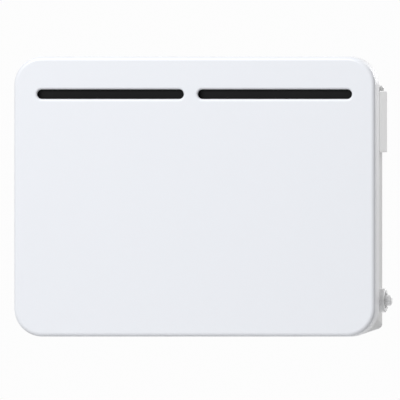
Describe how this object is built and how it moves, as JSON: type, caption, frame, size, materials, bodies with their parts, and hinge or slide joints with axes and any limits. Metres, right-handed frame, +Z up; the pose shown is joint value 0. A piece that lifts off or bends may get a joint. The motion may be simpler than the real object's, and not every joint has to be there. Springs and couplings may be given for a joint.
{
  "type": "electric panel heater",
  "caption": "White wall-mounted electric panel heater with two air slots in its front, a dial and a round mains button on its right side.",
  "frame": {"origin": "on the back of the wall bracket, where it meets the wall, in the middle of the heater's height and width", "axes": "+X to the right of someone facing the heater, +Y into the wall, +Z up"},
  "size_m": [0.5404, 0.087, 0.4],
  "materials": {
    "white_paint": "satin",
    "black_paint": "matte",
    "zinc": "satin",
    "aluminium": "satin",
    "ceramic": "matte",
    "rubber": "matte",
    "white_plastic": "satin",
    "black_plastic": "matte",
    "silicone": "matte",
    "board_green": "satin"
  },
  "bodies": {
    "wall_bracket": {"wall_bracket": "zinc"},
    "heater": {"front_panel": "white_paint", "rim_frame": "white_paint", "rear_casing": "white_paint", "air_guide": "black_paint", "heat_shield": "zinc", "element_sheath": "zinc", "element_carrier_left": "zinc", "element_carrier_right": "zinc", "heating_element": "aluminium", "thermal_cutout": "black_plastic", "relay": "black_plastic", "capacitor": "black_plastic", "room_sensor": "black_plastic", "switch_body": "black_plastic", "terminal_block": "ceramic", "element_bush_left": "ceramic", "element_bush_right": "ceramic", "cable_grommet": "rubber", "wall_buffer_left": "rubber", "wall_buffer_right": "rubber", "element_lead_left": "silicone", "element_lead_right": "silicone", "cutout_lead": "silicone", "switch_lead": "silicone", "control_lead": "silicone", "frame_screw_1": "zinc", "frame_screw_2": "zinc", "frame_screw_3": "zinc", "frame_screw_4": "zinc", "frame_screw_5": "zinc", "frame_screw_6": "zinc", "frame_screw_7": "zinc", "frame_screw_8": "zinc", "panel_stud_1": "zinc", "panel_stud_2": "zinc", "panel_stud_3": "zinc", "panel_stud_4": "zinc", "stud_clip_1": "white_plastic", "stud_clip_2": "white_plastic", "stud_clip_3": "white_plastic", "stud_clip_4": "white_plastic", "shield_screw_1": "zinc", "shield_screw_2": "zinc", "shield_screw_3": "zinc", "shield_screw_4": "zinc", "control_housing": "white_plastic", "control_cover": "white_plastic", "switch_collar": "white_plastic", "circuit_board": "board_green", "potentiometer": "zinc", "button_spring": "zinc", "cover_screw_1": "zinc", "cover_screw_2": "zinc", "housing_screw_1": "zinc", "housing_screw_2": "zinc"},
    "temperature_dial": {"temperature_dial": "white_plastic", "dial_shaft": "zinc"},
    "power_button": {"power_button": "white_plastic"}
  },
  "joints": [
    {"name": "heater_lift", "type": "slide", "parent": "wall_bracket", "child": "heater", "axis": [0, 0, 1], "range_m": [0, 0.012]},
    {"name": "dial_turn", "type": "hinge", "parent": "heater", "child": "temperature_dial", "pos_m": [0.2528, -0.021, 0.15], "axis": [0, 0, 1], "range_deg": [-135, 135]},
    {"name": "button_press", "type": "slide", "parent": "heater", "child": "power_button", "axis": [-1, 0, 0], "range_m": [0, 0.003], "stiffness_N_per_m": 300, "springref_m": -0.003, "deforming": ["button_spring"]}
  ]
}
